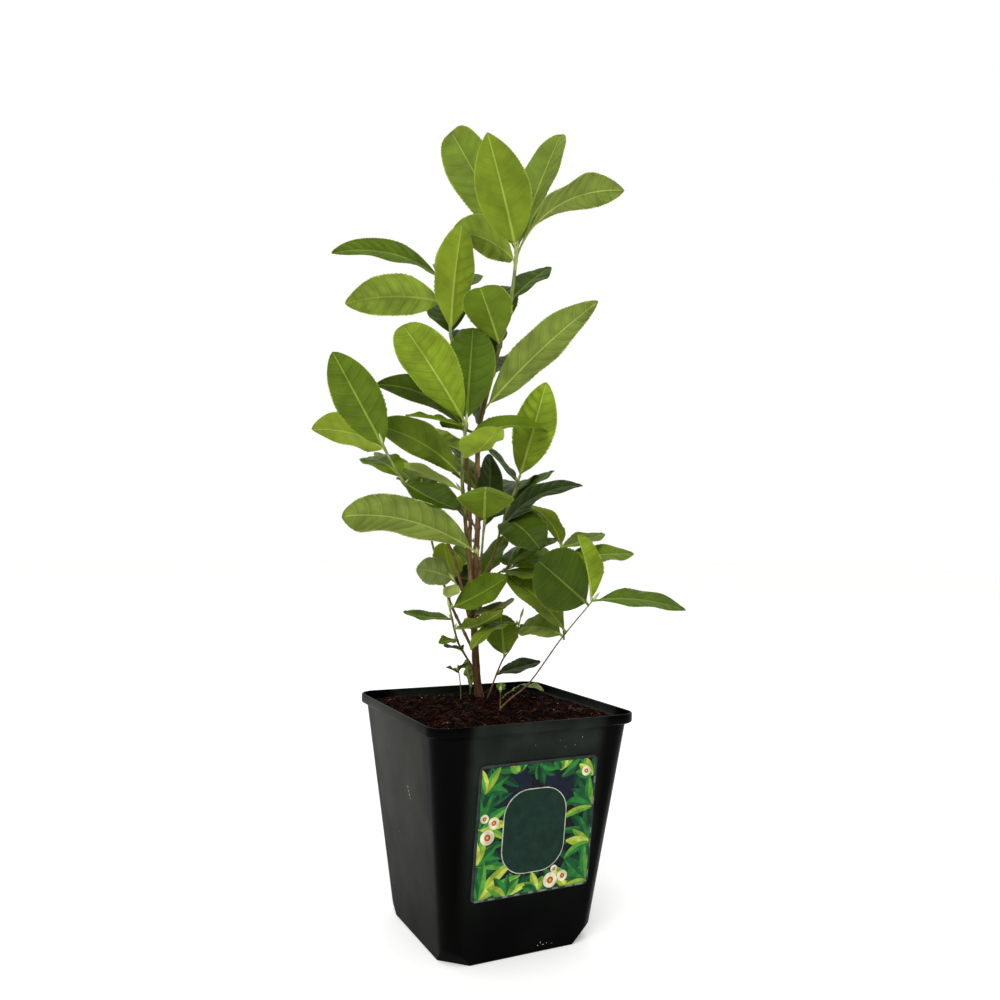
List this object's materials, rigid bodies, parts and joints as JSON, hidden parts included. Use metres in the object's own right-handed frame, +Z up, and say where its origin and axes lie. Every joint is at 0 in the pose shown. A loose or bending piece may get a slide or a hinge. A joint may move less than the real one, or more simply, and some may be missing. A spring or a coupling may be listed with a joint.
{
  "type": "potted tea bush",
  "caption": "Young evergreen tea bush with toothed oval leaves on slender branching stems, growing in a black square tapered nursery pot filled with peat and carrying a printed label.",
  "frame": {"origin": "centre of the pot's flat underside", "axes": "+Z up through the middle of the pot; the pot's sides run along X and Y; the labelled side faces -Y"},
  "size_m": [0.2149, 0.1648, 0.5204],
  "materials": {
    "pot": "moulded black plastic with a low sheen",
    "potting_soil": "loose fibrous peat, matt",
    "pot_label": "printed film with leaves and berries",
    "bark": "thin reddish-brown bark, matt",
    "upper_leaves": "leathery leaf, satin",
    "lower_leaves": "leathery leaf, satin",
    "young_leaves": "soft young leaf, satin"
  },
  "bodies": {
    "root": {"pot": "pot", "potting_soil": "potting_soil", "pot_label": "pot_label", "trunk": "bark", "leader_bough": "bark", "left_rear_bough": "bark", "middle_bough": "bark", "front_bough": "bark", "left_bough": "bark", "right_bough": "bark", "low_right_bough": "bark", "low_middle_bough": "bark", "rear_bough": "bark", "rear_left_bough": "bark", "leader_top_leaves": "upper_leaves", "leader_lower_leaves": "lower_leaves", "left_rear_leaves": "upper_leaves", "middle_leaves": "upper_leaves", "front_leaves": "lower_leaves", "left_leaves": "upper_leaves", "right_leaves": "lower_leaves", "low_right_leaves": "lower_leaves", "low_right_side_leaves": "lower_leaves", "low_middle_leaves": "lower_leaves", "low_left_leaves": "lower_leaves", "rear_leaves": "lower_leaves", "rear_left_leaves": "lower_leaves", "left_rear_side_leaf": "lower_leaves", "middle_side_leaf": "lower_leaves", "left_side_leaves": "lower_leaves", "right_side_leaves": "lower_leaves", "fork_side_leaf": "lower_leaves", "trunk_front_leaf": "lower_leaves", "pale_sprout": "young_leaves", "tiny_sprout": "young_leaves", "arching_sprout": "young_leaves", "thin_sprout": "young_leaves"}
  },
  "joints": []
}
